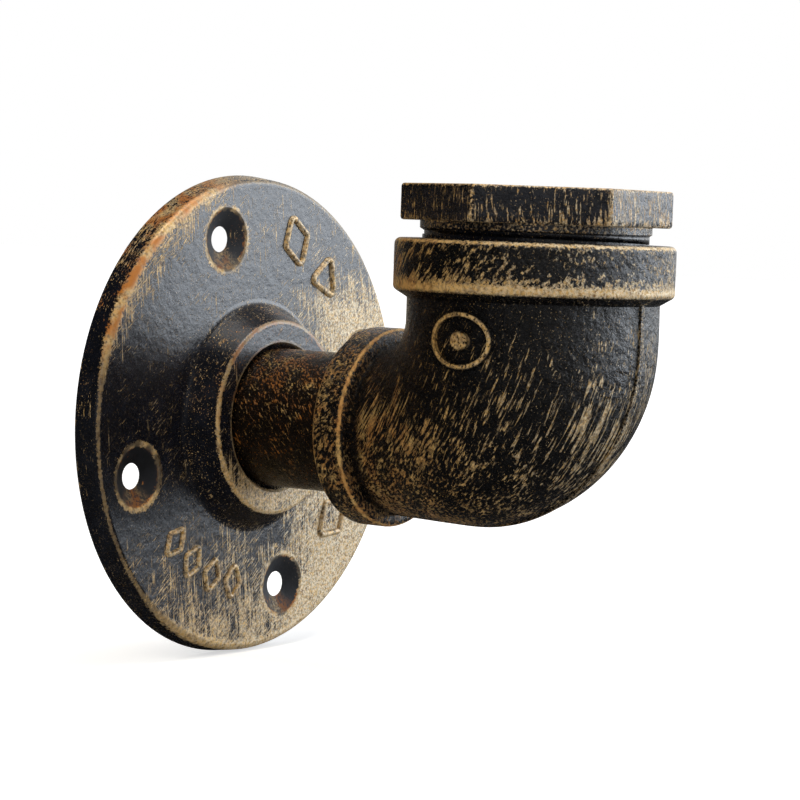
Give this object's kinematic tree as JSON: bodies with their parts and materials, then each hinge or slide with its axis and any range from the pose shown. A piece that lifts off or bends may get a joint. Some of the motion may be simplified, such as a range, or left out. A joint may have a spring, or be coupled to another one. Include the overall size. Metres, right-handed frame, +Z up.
{
  "type": "industrial pipe wall light",
  "caption": "Wall light built from pipe fittings: round wall flange, short pipe, reducing elbow, and a hex bushing that holds a screw lampholder facing up.",
  "frame": {"origin": "centre of the wall flange's back face, in the wall plane", "axes": "+Z up, along the lamp; -Y away from the wall, along the pipe; +X to the viewer's right when facing the wall"},
  "size_m": [0.0936, 0.0947, 0.0936],
  "materials": {
    "antiqued_iron": "satin black paint, dry-brushed with antique gold on edges and raised parts",
    "antiqued_pipe": "satin black paint, brushed with copper-gold",
    "gasket": "matt red silicone",
    "spring_steel": "bright spring steel",
    "porcelain": "white glazed porcelain",
    "shell_brass": "nickel-washed brass sheet",
    "contact_brass": "bright turned brass",
    "zinc_steel": "zinc-plated steel",
    "terminal_brass": "dull turned brass",
    "tinned_copper": "tinned copper",
    "connector_nylon": "natural nylon",
    "brown_insulation": "brown silicone insulation",
    "blue_insulation": "blue silicone insulation",
    "green_insulation": "green insulation with a yellow stripe"
  },
  "bodies": {
    "wall_mount": {"wall_flange": "antiqued_iron", "pipe_nipple": "antiqued_pipe"},
    "elbow": {"reducing_elbow": "antiqued_iron", "connector_block": "connector_nylon", "connector_tubes": "terminal_brass", "connector_screws": "zinc_steel", "connector_ferrules": "tinned_copper", "live_lead": "brown_insulation", "neutral_lead": "blue_insulation", "earth_lead": "green_insulation", "earth_lug": "tinned_copper", "earth_washer": "zinc_steel", "earth_screw": "zinc_steel"},
    "lampholder": {"lampholder_body": "porcelain", "screw_shell": "shell_brass", "shell_screws": "zinc_steel", "anchor_nut": "zinc_steel", "contact_bush": "shell_brass", "contact_spring": "spring_steel", "live_terminal": "terminal_brass", "neutral_terminal": "terminal_brass", "terminal_screws": "zinc_steel", "terminal_ferrules": "tinned_copper"},
    "bushing": {"hex_bushing": "antiqued_iron", "holder_gasket": "gasket", "retaining_ring": "spring_steel"},
    "contact": {"contact_plunger": "contact_brass"}
  },
  "joints": [
    {"name": "elbow_swivel", "type": "hinge", "parent": "wall_mount", "child": "elbow", "pos_m": [0, -0.039, 0], "axis": [0, -1, 0], "range_deg": [-90, 90]},
    {"name": "bushing_lift", "type": "slide", "parent": "elbow", "child": "lampholder", "axis": [0, 0, 1], "range_m": [0, 0.0099], "deforming": ["live_lead", "neutral_lead"]},
    {"name": "bushing_turn", "type": "hinge", "parent": "lampholder", "child": "bushing", "pos_m": [0, -0.069, 0.04], "axis": [0, 0, 1], "range_deg": [0, 1620]},
    {"name": "contact_press", "type": "slide", "parent": "lampholder", "child": "contact", "axis": [0, 0, -1], "range_m": [0, 0.0016], "stiffness_N_per_m": 1500, "springref_m": -0.0008, "deforming": ["contact_spring"]}
  ],
  "couplings": [
    {"joint": "bushing_turn", "follows": "bushing_lift", "rad_per_m": 2844.4}
  ]
}
